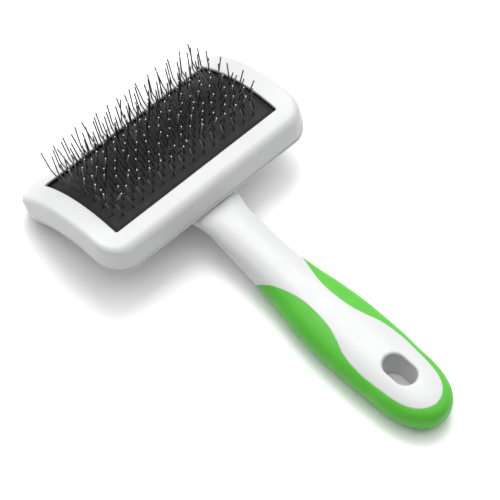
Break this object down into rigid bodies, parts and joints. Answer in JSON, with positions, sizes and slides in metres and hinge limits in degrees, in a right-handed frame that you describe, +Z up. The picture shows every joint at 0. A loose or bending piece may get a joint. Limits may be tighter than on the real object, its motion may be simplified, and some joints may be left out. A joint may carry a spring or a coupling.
{
  "type": "pet slicker brush",
  "caption": "Slicker brush: an arched, framed pad of fine bent wire pins on a moulded neck and a soft-grip handle with a hanging slot, for grooming pets.",
  "frame": {"origin": "centre of the footprint, on the table plane that the brush's back rests on", "axes": "+Z up, the way the pins point; +Y from the end of the handle to the far edge of the head; +X along the long side of the head, to the right when looking along +Y"},
  "size_m": [0.116, 0.203, 0.0483],
  "materials": {
    "white_abs": "satin moulded",
    "green_tpe": "matte soft-touch overmould",
    "black_rubber": "matte sheet",
    "foundation_cloth": "woven",
    "grey_foam": "open-cell foam",
    "pin_wire": "drawn wire",
    "zinc_screw": "zinc plated"
  },
  "bodies": {
    "root": {"head_bezel": "white_abs", "head_back_shell": "white_abs", "handle_core": "white_abs", "grip_overmould": "green_tpe", "neck_screw_rear": "zinc_screw", "neck_screw_front": "zinc_screw", "pad_rubber_face": "black_rubber", "pad_cloth_foundation": "foundation_cloth", "pad_foam_cushion": "grey_foam", "pin_row_01": "pin_wire", "pin_row_02": "pin_wire", "pin_row_03": "pin_wire", "pin_row_04": "pin_wire", "pin_row_05": "pin_wire", "pin_row_06": "pin_wire", "pin_row_07": "pin_wire", "pin_row_08": "pin_wire", "pin_row_09": "pin_wire", "pin_row_10": "pin_wire", "pin_row_11": "pin_wire", "pin_row_12": "pin_wire", "pin_row_13": "pin_wire", "pin_row_14": "pin_wire"}
  },
  "joints": []
}
